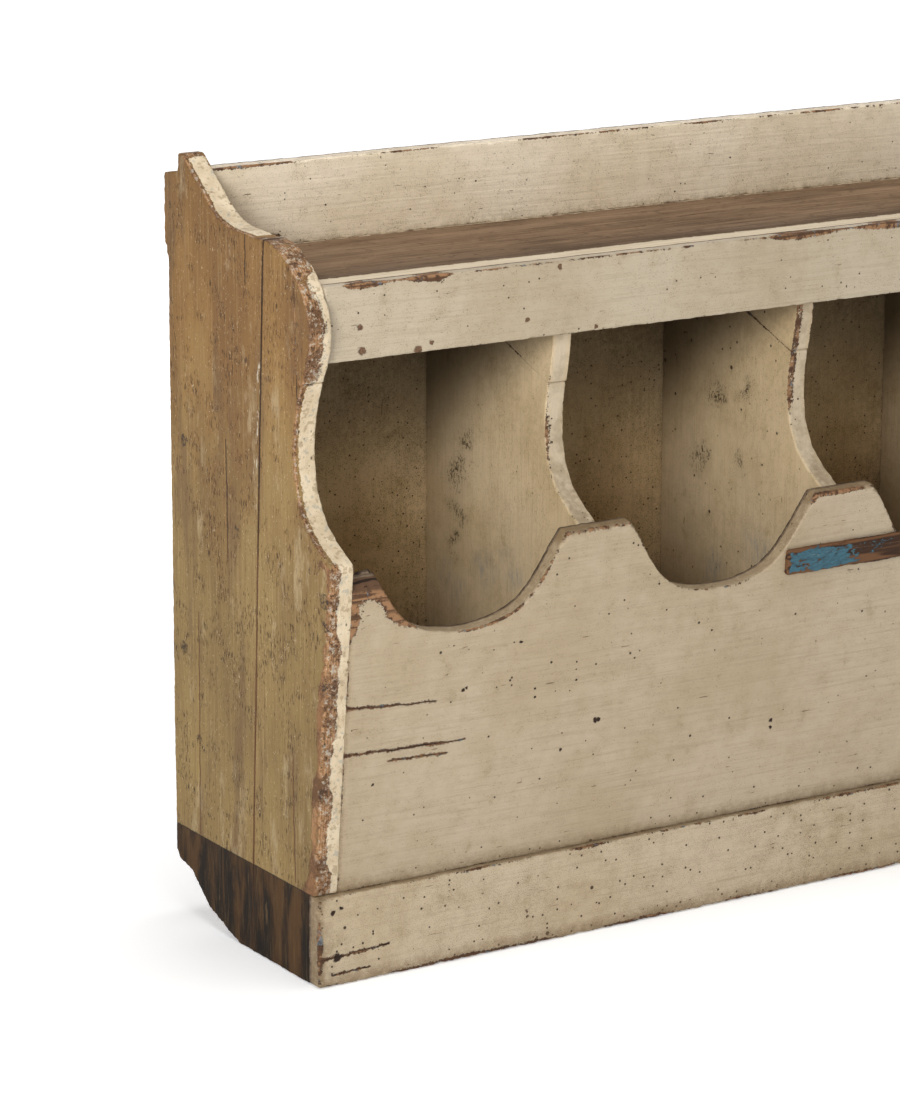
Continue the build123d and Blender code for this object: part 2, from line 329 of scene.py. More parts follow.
def board(
    node, look, material, grain=TOP, step=2.0, soften=2, grid=(2.4, 13.0), front_r=1.2, back_r=1.0,
    nicks=0.8, uneven=0.35, warp=0.3, relief=0.08, cracks=(), ragged=None, joint=None, shape=None, zones=None,
):
    """Worn board in the place of a CAD node, as one closed mesh. Its lengths are in millimetres."""
    normal = flat_face_normal(nodes[node], Vector(look))
    hint = Y_AXIS if abs(normal.z) > 0.9 else Z_AXIS
    up = (hint - normal * hint.dot(normal)).normalized()
    across = up.cross(normal)
    loop, top, thick = outline(nodes[node], normal)
    flat = [(across.dot(p), up.dot(p)) for p in loop]
    if sum(a[0] * b[1] - a[1] * b[0] for a, b in zip(flat, flat[1:] + flat[:1])) < 0:
        flat.reverse()
    seed = sum(map(ord, node)) % 97
    rim = resample(flat, step * MM, soften)

    def place(points, depth):
        depth = np.broadcast_to(depth, len(points))
        base = np.outer(points[:, 0], across) + np.outer(points[:, 1], up)
        return base + np.outer(top - depth, normal)

    # uneven outline, then the arrises
    world = place(rim, thick / 2)
    push = wobble(world, seed, 45, uneven * MM) + wobble(world, seed + 3, 170, uneven * MM * 0.5)
    if ragged:
        torn = wobble(world, seed + 9, 130, 1.6) + wobble(world, seed + 11, 420, 0.8)
        push = push + ragged(world) * np.abs(torn)
    rim = rim + inward_normals(rim) * push[:, None]
    inward = inward_normals(rim)
    world = place(rim, thick / 2)

    def radius(base):
        base = base(world) if callable(base) else np.full(len(rim), float(base))
        wave = 1 + wobble(world, seed + 5, 90, 0.9) + wobble(world, seed + 6, 260, 0.7)
        nick = smoothstep(0.25, 0.5, wobble(world, seed + 8, 120, 1.0))
        size = base * np.clip(wave, 0.45, 1.9) + nicks * nick * np.minimum(base, 1.5)
        return np.clip(size * MM, 0.25 * MM, thick * 0.46)

    front_r, back_r = radius(front_r), radius(back_r)
    rings = rounded_rings(front_r, back_r, thick)

    # points of the face, the cracks in it, and its triangles
    grain = Vector(grain)
    fine, coarse = grid[0] * MM, grid[1] * MM
    gap = (coarse, fine) if abs(grain.dot(across)) > abs(grain.dot(up)) else (fine, coarse)
    rim_tree = tree_of(rim)
    points = face_points(rim, rim_tree, inward, front_r, gap, seed)
    lines, edges, deep, crack_tree = [], [], [], None
    if cracks:
        lines, edges, deep, crack_tree, points = open_cracks(
            cracks, rim, rim_tree, front_r.max(), points, seed
        )
    border = rim + inward * front_r[:, None]
    inner, triangles = triangulate(border, lines, edges, deep, points)
    verts = [place(rim + inward * inset[:, None], depth) for inset, depth in rings]
    verts = np.concatenate(verts + [place(inner[:, :2], inner[:, 2]), place(inner[:, :2], thick)])
    faces = skin(len(rim), len(rings), triangles, len(inner))

    # distance to the nearest arris and crack, the edge strip, and how far behind the face
    inset, depth = (np.concatenate(column) for column in zip(*rings))
    far = nearest(rim_tree, inner[:, :2]) if len(inner) else np.zeros(0)
    none = np.zeros(len(inner))
    near = np.concatenate([np.minimum(depth, thick - depth) + inset, far, far])
    strip = np.clip(depth / 0.002, 0, 1) * np.clip((thick - depth) / 0.002, 0, 1)
    strip = np.concatenate([strip, none, none])
    behind = np.concatenate([np.clip(depth / thick, 0, 1), none, none + 1])
    apart = np.full(len(verts), 0.02)
    if crack_tree:
        flat_now = np.stack([verts @ np.array(across), verts @ np.array(up)], axis=1)
        facing = np.where(behind < 0.3)[0]
        apart[facing] = nearest(crack_tree, flat_now[facing])
        apart[len(depth):len(depth) + len(inner)][inner[:, 2] > 0] = 0.0
    if joint:
        apart = np.minimum(apart, joint(verts))

    # cupping, small waves, burrs at the arris and raised grain
    if shape:
        verts = shape(verts, behind)
    waves = wobble(verts, seed + 20, 9, warp * MM) + wobble(verts, seed + 21, 60, 0.12 * MM)
    burr = wobble(verts, seed + 22, 420, 0.10 * MM) * (near < 0.004)
    along = verts * (1 - 0.965 * np.abs(np.array(grain)))
    raised = wobble(along, seed + 23, 290, relief * MM) + wobble(along, seed + 24, 110, relief * MM)
    raised = raised * (0.5 + 1.4 * np.abs(wobble(verts, seed + 25, 22, 1.0)))
    raised = raised * (1 - strip) * smoothstep(0.0, 0.002, near)
    verts = verts + np.outer(waves + burr + raised, normal)

    mesh = stand_for(node, node + "_worn", verts.tolist(), faces, material)
    mesh.polygons.foreach_set("use_smooth", [True] * len(faces))
    values = {"edge_mm": near / MM, "board": sum(map(ord, node)) * 37 % 101 / 101, "crack_mm": apart / MM}
    # deep is painted shade, zero unless the zones paint it
    values.update(strip=strip, behind=behind, wear=0.0, grime=0.0, cream=0.0, bare=0.0, stain=0.0, deep=0.0)
    if zones:
        values.update(zones(verts, near, strip, behind))
    for name, value in values.items():
        layer = mesh.attributes.new(name, "FLOAT", "POINT")
        layer.data.foreach_set("value", np.broadcast_to(value, len(verts)).astype(np.float32))


# ---- shader helpers ----------------------------------------------------------
class Signal:
    """Output of a shader node, which adds, subtracts and multiplies like a number."""

    def __init__(self, paint, socket):
        self.paint, self.socket = paint, socket

    def beside(self, output):
        """Another output of the same node."""
        return Signal(self.paint, self.socket.node.outputs[output])

    def __add__(self, other):
        return self.paint.math("ADD", self, other)

    def __sub__(self, other):
        return self.paint.math("SUBTRACT", self, other)

    def __rsub__(self, other):
        return self.paint.math("SUBTRACT", other, self)

    def __mul__(self, other):
        return self.paint.math("MULTIPLY", self, other)

    __radd__, __rmul__ = __add__, __mul__


class Paint:
    """Short names for the shader nodes that the materials below share."""

    def __init__(self, name):
        self.material = bpy.data.materials.new(name)
        self.material.use_nodes = True
        self.tree = self.material.node_tree
        self.bsdf = self.tree.nodes["Principled BSDF"]
        self.coords = self.node("TexCoord", {}, "Object")

    def node(self, kind, inputs, output=0, **settings):
        """New shader node, as the signal from one of its outputs."""
        node = self.tree.nodes.new("ShaderNode" + kind)
        for key, value in settings.items():
            setattr(node, key, value)
        for key, value in inputs.items():
            self.link(value, node.inputs[key])
        return Signal(self, node.outputs[output])

    def link(self, value, socket):
        if isinstance(value, Signal):
            self.tree.links.new(value.socket, socket)
        elif isinstance(value, tuple) and socket.type == "RGBA":
            socket.default_value = (*value, 1)
        else:
            socket.default_value = value

    def attribute(self, name):
        return self.node("Attribute", {}, "Fac", attribute_name=name)

    def stretch(self, scale, shift=(0, 0, 0)):
        return self.node("Mapping", {"Vector": self.coords, "Scale": scale, "Location": shift})

    def noise(self, vector, scale, detail=4, rough=0.55, distortion=0.0):
        inputs = {"Vector": vector, "Scale": scale, "Detail": detail, "Roughness": rough}
        return self.node("TexNoise", {**inputs, "Distortion": distortion}, "Fac")

    def cells(self, vector, scale):
        """Distance to the nearest cell's centre, and two random numbers of that cell."""
        distance = self.node("TexVoronoi", {"Vector": vector, "Scale": scale}, "Distance")
        pick = self.node("SeparateColor", {0: distance.beside("Color")})
        return distance, pick, pick.beside(1)

    def axis(self, index):
        return self.node("SeparateXYZ", {0: self.coords}, index)

    def math(self, operation, a, b=0.0):
        return self.node("Math", {0: a, 1: b}, operation=operation)

    def most(self, a, b):
        return self.math("MAXIMUM", a, b)

    def step(self, value, low, high, out_low=0.0, out_high=1.0):
        """Smooth climb from out_low to out_high as the value goes from low to high."""
        inputs = {"Value": value, "From Min": low, "From Max": high, "To Min": out_low, "To Max": out_high}
        return self.node("MapRange", inputs, interpolation_type="SMOOTHSTEP")

    def spots(self, places, warp, inner=0.75, outer=1.15):
        """Mask of roughly round marks at given places (x, y, z, radius), in metres."""
        moved = self.node("VectorMath", {0: self.coords, 1: warp}, operation="ADD")
        total = 0.0
        for *centre, radius in places:
            gap = self.node("VectorMath", {0: moved, 1: centre}, "Value", operation="DISTANCE")
            total = self.most(total, self.step(gap, radius * inner, radius * outer, 1.0, 0.0))
        return total

    def warp(self, scale, amount):
        """Small random vector for ragged outlines."""
        color = self.node("TexNoise", {"Vector": self.coords, "Scale": scale, "Detail": 3}, "Color")
        centred = self.node("VectorMath", {0: color, 1: (0.5, 0.5, 0.5)}, operation="SUBTRACT")
        return self.node("VectorMath", {0: centred, "Scale": amount}, operation="SCALE")

    def mix(self, factor, a, b):
        return self.node("Mix", {"Factor": factor, 6: a, 7: b}, 2, data_type="RGBA")

    def lay(self, base, color, value, low, high, amount=1.0):
        """Colour laid over the base where the value climbs from low to high."""
        return self.mix(self.step(value, low, high, 0.0, amount), base, color)

    def bump(self, height, distance):
        normal = self.node("Bump", {"Strength": 1.0, "Distance": distance, "Height": height}, "Normal")
        self.link(normal, self.bsdf.inputs["Normal"])

    def finish(self, color, roughness, specular=0.25):
        self.link(color, self.bsdf.inputs["Base Color"])
        self.link(roughness, self.bsdf.inputs["Roughness"])
        self.bsdf.inputs["Specular IOR Level"].default_value = specular
        return self.material


GRAIN = {"X": (0.045, 1, 1), "Z": (1, 1, 0.045), "side": (1, 0.3, 0.045)}


def drawn_out(grain, share):
    """Scale that draws a texture out along the grain."""
    return tuple(share if c < 1 else c for c in GRAIN[grain])


def scaled(color, share):
    """Colour times a number, or times a tint of three numbers."""
    return tuple((np.array(color) * share).tolist())


def wood(p, grain, dark, light, seed=0.0):
    """Pine: wandering growth lines along the grain with fine fibres."""
    shift = (seed, seed * 1.7, seed * 0.6)
    long = p.stretch(GRAIN[grain], shift)
    wander = p.noise(long, 22, 3, 0.5)
    lines = p.noise(long, 130, 2, 0.4, 0.6)
    fibre = p.noise(long, 620, 5, 0.7)
    own = p.attribute("board") * 40.0
    if grain == "side":
        phase = wander * 14.0 + lines * 5.0 + p.axis(0) * 2300.0 + own
    else:
        phase = wander * 46.0 + lines * 13.0 + own
    rings = p.step(p.math("SINE", phase), -0.2, 0.95)
    return p.lay(light, dark, rings * 0.5 + fibre * 0.55, 0.2, 0.85), rings, fibre


def cream_material(
    name, grain, tint, seed, dirt=0.0, marks=(), rust_marks=(), smudges=(), scuffs=(), raw_back=False
):
    """Old cream oil paint over blue-grey undercoat over brown pine."""
    p = Paint(name)
    wood_color, rings, fibre = wood(p, grain, (0.085, 0.042, 0.020), (0.29, 0.155, 0.075), seed)
    shift = p.stretch((1, 1, 1), (seed, seed, seed))
    small = p.noise(shift, 420, 6, 0.66)
    patch = p.noise(shift, 48, 4, 0.6)
    broad = p.noise(shift, 6, 3, 0.5)
    edge = p.attribute("edge_mm")
    wear = p.attribute("wear")
    grime = p.attribute("grime")
    crack = p.attribute("crack_mm")
    # paint: broad yellowing, brushed streaks and the grain that shows through
    brush = p.noise(p.stretch(GRAIN[grain], (seed, 0, seed)), 300, 5, 0.65)
    lines = p.noise(p.stretch(drawn_out(grain, 0.022), (0, seed, 0)), 430, 3, 0.55)
    dashes = p.noise(p.stretch(drawn_out(grain, 0.10), (seed, seed, 0)), 330, 3, 0.5)
    pale = scaled((0.620, 0.535, 0.415), tint)
    warm = scaled((0.545, 0.455, 0.325), tint)
    line_color = scaled((0.37, 0.30, 0.20), tint)
    stain_color = scaled((0.38, 0.32, 0.18), tint)
    paint = p.lay(pale, warm, broad * 0.75 + patch * 0.25, 0.36, 0.66)
    paint = p.lay(paint, line_color, brush, 0.45, 0.80, 0.30)
    paint = p.lay(paint, line_color, lines, 0.52, 0.70, 0.24)
    paint = p.lay(paint, stain_color, patch, 0.62, 0.72, 0.30)
    pores = p.noise(shift, 1100, 2, 0.5)
    pepper = p.step(pores + patch * 0.16 + grime * 0.07 + dirt * 0.03, 0.735, 0.765, 0.0, 0.7)
    paint = p.mix(pepper, paint, (0.11, 0.075, 0.042))
    if grain == "Z":
        rubbed_edge = p.lay((0.53, 0.455, 0.350), (0.37, 0.315, 0.235), patch, 0.42, 0.60)
        paint = p.mix(p.attribute("strip") * 0.65, paint, rubbed_edge)
    # hairlines along the grain, in patches
    local = p.step(patch, 0.46, 0.62, 0.0, 0.055)
    hair = p.step(dashes + local + grime * 0.03, 0.755, 0.775, 0.0, 0.8)
    paint = p.mix(hair, paint, (0.13, 0.085, 0.045))
    # fly specks and pin holes in three sizes
    speck = 0.0
    for scale, rarity, reach in ((170, 0.93, 0.13), (84, 0.95, 0.080), (34, 0.955, 0.045)):
        distance, pick, size = p.cells(shift, scale)
        dot = p.step(distance + size * reach, reach * 1.5, reach * 1.9, 1.0, 0.0)
        chosen = p.step(pick + grime * 0.25 + (patch - 0.5) * 0.4 + dirt * 0.1, rarity, rarity + 0.01)
        speck = p.most(speck, dot * chosen)
    paint = p.mix(speck * 0.95, paint, (0.030, 0.017, 0.009))
    # dirt that gathers in corners and on ledges; inside the bins this darkening also carries painted shade
    soil_noise = p.noise(shift, 160, 6, 0.7)
    film = p.math("MINIMUM", grime, 1.0)
    soil = film * p.step(soil_noise * 0.8 + patch * 0.2 + grime * 0.14, 0.42, 0.66)
    paint = p.mix(soil * 0.8, paint, (0.155, 0.098, 0.045))
    paint = p.mix(film * 0.35, paint, (0.26, 0.175, 0.085))
    # chips: more where there is wear, at the very arris and along cracks
    arris = p.step(edge, 0.0, 2.6, 1.0, 0.0)
    flank = p.step(crack, 0.3, 5.0, 1.0, 0.0)
    medium = p.noise(shift, 150, 5, 0.68)
    value = small * 0.50 + medium * 0.34 + patch * 0.20 - 0.02
    limit = 0.735 - wear * 0.235 - arris * 0.085 - flank * 0.27
    bare = p.step(value, limit, limit + 0.010)
    rim = p.step(value, limit - 0.024, limit - 0.016)
    line = p.step(value, limit - 0.005, limit - 0.002)
    color = p.mix(rim * 0.7, paint, (0.25, 0.22, 0.17))
    # thin dark line around each chip: dirt caught at the broken paint, with painted shade where the paint
    # steps down
    color = p.mix(line * 0.85, color, (0.045, 0.028, 0.018))
    blue_left = p.step(p.noise(shift, 85, 3, 0.6), 0.61, 0.65)
    under = p.lay((0.045, 0.060, 0.075), (0.17, 0.20, 0.21), small, 0.40, 0.60)
    dark_wood = p.lay(wood_color, (0.075, 0.036, 0.018), medium, 0.46, 0.60)
    color = p.mix(bare, color, p.mix(blue_left * 0.85, dark_wood, under))
    if rust_marks:
        mark = p.spots(rust_marks, p.warp(260, 0.006))
        color = p.mix(mark * 0.9, color, p.lay((0.045, 0.018, 0.008), (0.15, 0.065, 0.028), small, 0.4, 0.6))
        bare = p.most(bare, mark)
    if marks:
        mark = p.spots(marks, p.warp(300, 0.005))
        color = p.mix(mark, color, (0.028, 0.014, 0.008))
        bare = p.most(bare, mark)
    if smudges:
        mark = p.spots(smudges, p.warp(30, 0.050), 0.0, 2.4)
        fleck = p.noise(p.stretch((1, 1, 0.6), (seed, 0, 0)), 520, 4, 0.6)
        fleck = p.step(fleck + mark * 0.17, 0.665, 0.69)
        color = p.mix(mark * fleck, color, (0.050, 0.034, 0.016))
        color = p.mix(mark * 0.22, color, (0.15, 0.105, 0.05))
    if scuffs:
        mark = p.spots(scuffs, p.warp(24, 0.060), 0.0, 1.8)
        rub_noise = p.noise(p.stretch((1, 1, 0.16), (seed, 0, 0)), 300, 5, 0.7)
        color = p.mix(mark * p.step(rub_noise, 0.44, 0.62, 0.10, 0.62), color, (0.22, 0.235, 0.235))
    # old dark break in the bare wood, and the open cracks
    stain = p.attribute("stain")
    broken = p.lay((0.105, 0.055, 0.028), (0.020, 0.010, 0.005), rings * 0.6 + fibre * 0.5, 0.3, 0.8)
    color = p.mix(stain, color, broken)
    open_line = crack + (small - 0.5) * 2.0 + (medium - 0.5) * 3.2
    color = p.mix(p.step(open_line, 0.15, 0.45, 1.0, 0.0), color, (0.030, 0.015, 0.008))
    # painted shade: near black laid on where deep is set, high inside the bins under the shelf
    color = p.mix(p.attribute("deep") * 0.86, color, (0.040, 0.022, 0.006))
    if raw_back:
        raw, _, _ = wood(p, grain, (0.150, 0.095, 0.055), (0.255, 0.172, 0.104), seed + 2)
        raw = p.mix(p.attribute("board") * 0.55, raw, (0.130, 0.098, 0.068))
        soot = broad * 0.7 + patch * 0.3
        raw = p.lay(raw, (0.085, 0.058, 0.038), soot, 0.44, 0.64, 0.55)
        raw = p.lay(raw, (0.070, 0.042, 0.024), lines, 0.50, 0.62, 0.75)
        raw = p.lay(raw, (0.34, 0.25, 0.165), brush, 0.50, 0.62, 0.45)
        raw = p.mix(p.step(edge, 1.0, 2.6, 0.9, 0.0), raw, (0.018, 0.010, 0.006))
        raw = p.mix(speck * 0.9, raw, (0.020, 0.012, 0.007))
        raw = p.mix(p.step(crack, 0.3, 0.9, 1.0, 0.0), raw, (0.020, 0.010, 0.006))
        color = p.lay(color, raw, p.attribute("behind"), 0.70, 0.80)
    height = bare * -1.0 - pepper * 0.25 + brush * 0.30 - lines * 0.30 - hair * 0.3
    height = height - rings * 0.12 + small * 0.22 - speck * 0.4
    p.bump(height, 0.0008)
    return p.finish(color, p.step(bare, 0.0, 1.0, 0.55, 0.8))


def side_material(name, seed=0.0, marks=()):
    """Side boards: thin rubbed ochre outside, cream on the shaped edge and inside, dark foot."""
    p = Paint(name)
    shift = p.stretch((1, 1, 1), (seed, seed, seed))
    bare_color, _, _ = wood(p, "side", (0.235, 0.115, 0.050), (0.36, 0.200, 0.093), seed)
    small = p.noise(shift, 380, 6, 0.65)
    patch = p.noise(shift, 34, 4, 0.6)
    broad = p.noise(p.stretch((1, 1, 0.30), (seed, 0, 0)), 11, 3, 0.5)
    lines = p.noise(p.stretch((1, 1, 0.022), (seed, seed, 0)), 300, 3, 0.6)
    streak = p.noise(p.stretch((1, 1, 0.045), (seed, seed, 0)), 380, 6, 0.75)
    dashes = p.noise(p.stretch((1, 1, 0.17), (seed, 0, seed)), 620, 3, 0.6)
    edge = p.attribute("edge_mm")
    crack = p.attribute("crack_mm")
    height_z = p.axis(2)
    # rubbed ochre: browner high up, greener and paler low down
    upper = p.lay((0.270, 0.148, 0.047), (0.185, 0.095, 0.031), broad, 0.36, 0.62)
    lower = p.lay((0.280, 0.188, 0.072), (0.215, 0.143, 0.054), broad, 0.36, 0.64)
    level = height_z + (patch - 0.5) * 0.30 + (broad - 0.5) * 0.35
    ochre = p.lay(lower, upper, level, 0.34, 0.66)
    ochre = p.lay(ochre, (0.15, 0.083, 0.034), streak, 0.42, 0.72, 0.60)
    grain_here = p.step(broad, 0.42, 0.60, 0.05, 0.5)
    ochre = p.mix(p.step(lines, 0.52, 0.66) * grain_here, ochre, (0.155, 0.085, 0.035))
    light_line = p.step(lines, 0.34, 0.44, 0.20, 0.0)
    ochre = p.mix(light_line, ochre, (0.46, 0.325, 0.16))
    local = p.step(patch, 0.40, 0.66, -0.03, 0.090)
    dash = p.step(dashes + local, 0.645, 0.665, 0.0, 0.92)
    ochre = p.mix(dash, ochre, (0.055, 0.026, 0.010))
    fleck = p.noise(p.stretch((1, 1, 0.5), (0, 0, seed)), 700, 2, 0.5)
    ochre = p.lay(ochre, (0.52, 0.42, 0.26), fleck, 0.67, 0.70, 0.6)
    ochre = p.lay(ochre, (0.50, 0.41, 0.27), small * 0.55 + patch * 0.45, 0.625, 0.645, 0.65)
    cloud = p.noise(p.stretch((1, 1, 0.16), (0, seed, 0)), 24, 6, 0.68)
    ochre = p.lay(ochre, (0.135, 0.078, 0.038), cloud, 0.53, 0.66, 0.58)
    worn_pale = p.noise(p.stretch((1, 1, 0.30), (seed, seed, 4)), 30, 6, 0.7)
    ochre = p.lay(ochre, (0.47, 0.37, 0.22), worn_pale, 0.57, 0.68, 0.42)
    smear = p.attribute("grime")
    smear_noise = p.noise(p.stretch((1, 1, 0.28), (seed, 0, 0)), 230, 6, 0.72)
    smear = p.step(smear + (smear_noise - 0.5) * 6.0, 1.55, 1.75)
    ochre = p.mix(smear * 0.85, ochre, (0.55, 0.50, 0.40))
    speck = 0.0
    for scale, rarity in ((260, 0.86), (140, 0.84), (60, 0.93)):
        distance, pick, size = p.cells(p.stretch((1, 1, 0.6), (seed, seed, 0)), scale)
        dot = p.step(distance + size * 0.10, 0.10, 0.22, 1.0, 0.0)
        speck = p.most(speck, dot * p.step(pick, rarity, rarity + 0.01))
    ochre = p.mix(speck * 0.85, ochre, (0.045, 0.022, 0.010))
    # cream paint on the shaped edge and inside
    cream_edge = p.attribute("cream") + (small - 0.5) + (patch - 0.5) * 0.8
    cream_mask = p.step(cream_edge, 0.46, 0.50)
    cream = p.lay((0.645, 0.535, 0.375), (0.545, 0.43, 0.28), patch, 0.35, 0.65)
    cream = p.lay(cream, (0.38, 0.29, 0.18), streak, 0.48, 0.75, 0.4)
    scuffed = p.noise(shift, 130, 5, 0.65)
    cream = p.lay(cream, (0.30, 0.215, 0.125), scuffed, 0.54, 0.61, 0.60)
    cream = p.lay(cream, (0.28, 0.28, 0.25), scuffed, 0.42, 0.37, 0.55)
    cream = p.mix(speck * 0.8, cream, (0.05, 0.03, 0.015))
    color = p.mix(cream_mask, ochre, cream)
    # bare wood where it is rubbed through, with a blue-grey undercoat at its border
    arris = p.step(edge, 0.0, 1.8, 0.22, 0.0)
    bare_edge = p.attribute("bare") + arris + (small - 0.5) * 1.1
    bare_edge = bare_edge + (patch - 0.5) * 0.9 + (scuffed - 0.5) * 0.7
    bare_mask = p.step(bare_edge, 0.50, 0.54)
    rim = p.step(bare_edge, 0.42, 0.46) * cream_mask
    color = p.mix(rim * 0.6, color, (0.20, 0.215, 0.20))
    rubbed = p.lay(bare_color, (0.125, 0.062, 0.028), patch * 0.6 + small * 0.4, 0.43, 0.57)
    flaky = p.noise(shift, 210, 6, 0.72)
    flake = p.attribute("strip") * p.step(flaky, 0.545, 0.575, 0.0, 0.75)
    rubbed = p.mix(flake, rubbed, p.lay((0.30, 0.30, 0.27), (0.50, 0.43, 0.31), small, 0.45, 0.55))
    split = p.attribute("strip") * p.step(flaky, 0.435, 0.415, 0.0, 0.85)
    rubbed = p.mix(split, rubbed, (0.040, 0.020, 0.010))
    color = p.mix(bare_mask, color, rubbed)
    # dark stained foot, streaky, with reddish wood between
    below = p.step(height_z + (small - 0.5) * 0.002, PLINTH_TOP - 0.0006, PLINTH_TOP + 0.0006, 1.0, 0.0)
    stain = p.attribute("stain") * below
    foot_streak = p.noise(p.stretch((1, 1, 0.22), (seed, 0, 0)), 42, 6, 0.66, 0.4)
    foot = p.lay((0.008, 0.004, 0.001), (0.074, 0.034, 0.009), foot_streak, 0.40, 0.62)
    foot = p.lay(foot, (0.135, 0.078, 0.030), streak, 0.52, 0.66, 0.55)
    foot = p.lay(foot, (0.14, 0.085, 0.036), foot_streak, 0.36, 0.30, 0.6)
    color = p.lay(color, foot, stain, 0.45, 0.55)
    shadow_line = p.math("ABSOLUTE", height_z - PLINTH_TOP + (small - 0.5) * 0.002)
    shadow_line = p.step(shadow_line, 0.0003, 0.0010, 0.85, 0.0) * p.attribute("stain")
    color = p.mix(shadow_line, color, (0.020, 0.012, 0.007))
    if marks:
        mark = p.spots(marks, p.warp(150, 0.012))
        color = p.mix(mark * p.step(small, 0.42, 0.58, 0.10, 0.95), color, (0.045, 0.030, 0.020))
    open_line = crack + (small - 0.5) * 2.4
    reddish = p.step(height_z + (patch - 0.5) * 0.5, 0.30, 0.50, 0.85, 0.0)
    reddish = reddish * (1.0 - below)
    line_color = p.mix(reddish, (0.045, 0.022, 0.010), (0.145, 0.066, 0.027))
    # painted shade high on the inner face under the shelf, from deep
    color = p.mix(p.attribute("deep") * 0.82, color, (0.040, 0.024, 0.009))
    color = p.mix(p.step(open_line, 0.55, 1.15, 1.0, 0.0), color, line_color)
    height = streak * -0.55 - lines * 0.35 - dash * 0.6 + small * 0.25 - speck * 0.5
    height = height + cream_mask * 0.35 - bare_mask * 0.45
    p.bump(height, 0.0006)
    return p.finish(color, p.step(cream_mask, 0.0, 1.0, 0.75, 0.55))


def plain_wood_material(name, dark, light, seed, worn=False):
    """Unpainted board: growth lines, fibres, scuffs and stains."""
    p = Paint(name)
    grain = "X"
    base, rings, _ = wood(p, grain, dark, light, seed)
    shift = p.stretch((1, 1, 1), (seed, 0, seed))
    patch = p.noise(p.stretch(drawn_out(grain, 0.3), (0, 0, seed)), 24, 4, 0.6)
    small = p.noise(shift, 350, 5, 0.65)
    scuff = p.noise(p.stretch(GRAIN[grain], (0, seed, 0)), 200, 6, 0.72)
    middle = tuple((a + b) / 2 for a, b in zip(dark, light))
    color = p.mix(0.58, base, middle)
    color = p.lay(color, scaled(middle, 0.5), patch, 0.42, 0.70, 0.65)
    color = p.lay(color, scaled(light, 1.45), scuff, 0.52, 0.62, 0.30)
    thin = p.noise(p.stretch(drawn_out(grain, 0.02), (seed, 0, 0)), 420, 3, 0.6)
    color = p.lay(color, scaled(dark, 0.4), thin, 0.57, 0.64, 0.55)
    blotch = p.noise(shift, 70, 6, 0.72)
    color = p.lay(color, scaled(dark, 0.55), blotch, 0.56, 0.64, 0.5)
    color = p.lay(color, scaled(dark, 0.5), small, 0.66, 0.70, 0.7)
    color = p.lay(color, scaled(light, 1.7), small, 0.36, 0.33, 0.45)
    distance, pick, _ = p.cells(shift, 70)
    dot = p.step(distance, 0.08, 0.18, 1.0, 0.0) * p.step(pick, 0.90, 0.91)
    color = p.mix(dot * 0.8, color, scaled(dark, 0.3))
    if worn:
        cream = p.attribute("cream")
        ragged = cream + (small - 0.5) * 0.9 + (patch - 0.5) * 0.6
        paint = p.lay((0.60, 0.50, 0.36), (0.40, 0.31, 0.20), scuff, 0.45, 0.65, 0.6)
        color = p.lay(color, paint, ragged, 0.46, 0.54)
    crack = p.attribute("crack_mm") + (small - 0.5) * 1.6
    color = p.mix(p.step(crack, 0.3, 0.8, 1.0, 0.0), color, scaled(dark, 0.3))
    # painted shade under the shelf, and a darker band along the front of its top, from deep
    color = p.mix(p.attribute("deep"), color, (0.012, 0.006, 0.002))
    p.bump(rings * -0.2 + scuff * 0.5 - thin * 0.5 + small * 0.3, 0.0005)
    return p.finish(color, p.step(patch, 0.3, 0.7, 0.70, 0.9), specular=0.12)


def blue_material():
    """Worn blue paint on a small brown batten."""
    p = Paint("worn_blue_paint")
    color, _, fibre = wood(p, "X", (0.035, 0.016, 0.008), (0.14, 0.065, 0.028), 2.3)
    shift = p.stretch((0.45, 1, 1), (0.3, 0, 0))
    small = p.noise(shift, 300, 6, 0.7)
    patch = p.noise(shift, 60, 4, 0.6)
    edge = p.attribute("edge_mm")
    arris = p.step(edge, 0.0, 5.0, 1.0, 0.0)
    worn_end = p.step(p.axis(0), -0.150, -0.105, 0.0, 0.10)
    value = small * 0.45 + patch * 0.55 + arris * 0.16 + worn_end
    bare = p.step(value, 0.53, 0.56)
    blue = p.lay((0.042, 0.125, 0.165), (0.026, 0.070, 0.095), small, 0.35, 0.65)
    grey = p.step(p.noise(shift, 120, 4, 0.7), 0.60, 0.66)
    blue = p.mix(grey * 0.6, blue, (0.30, 0.28, 0.22))
    color = p.mix(bare, blue, color)
    p.bump(bare * -1.0 + fibre * 0.4 + small * 0.4, 0.0005)
    return p.finish(color, p.step(bare, 0.0, 1.0, 0.5, 0.8))


def rust_material():
    """Brown rust over dark iron, in small patches."""
    p = Paint("rusty_iron")
    small = p.noise(p.stretch((1, 1, 1)), 900, 5, 0.7)
    color = p.lay((0.030, 0.018, 0.012), (0.13, 0.055, 0.022), small, 0.35, 0.65)
    p.bump(small, 0.0003)
    p.bsdf.inputs["Metallic"].default_value = 0.4
    return p.finish(color, p.step(small, 0.3, 0.7, 0.55, 0.85))


# ---- zones: where each board is worn, dirty, painted or bare, and where shade is painted ---
def rub(near, reach):
    """One at the arris, fading to nothing at the reach in millimetres."""
    return smoothstep(reach * MM, 0.0, near)


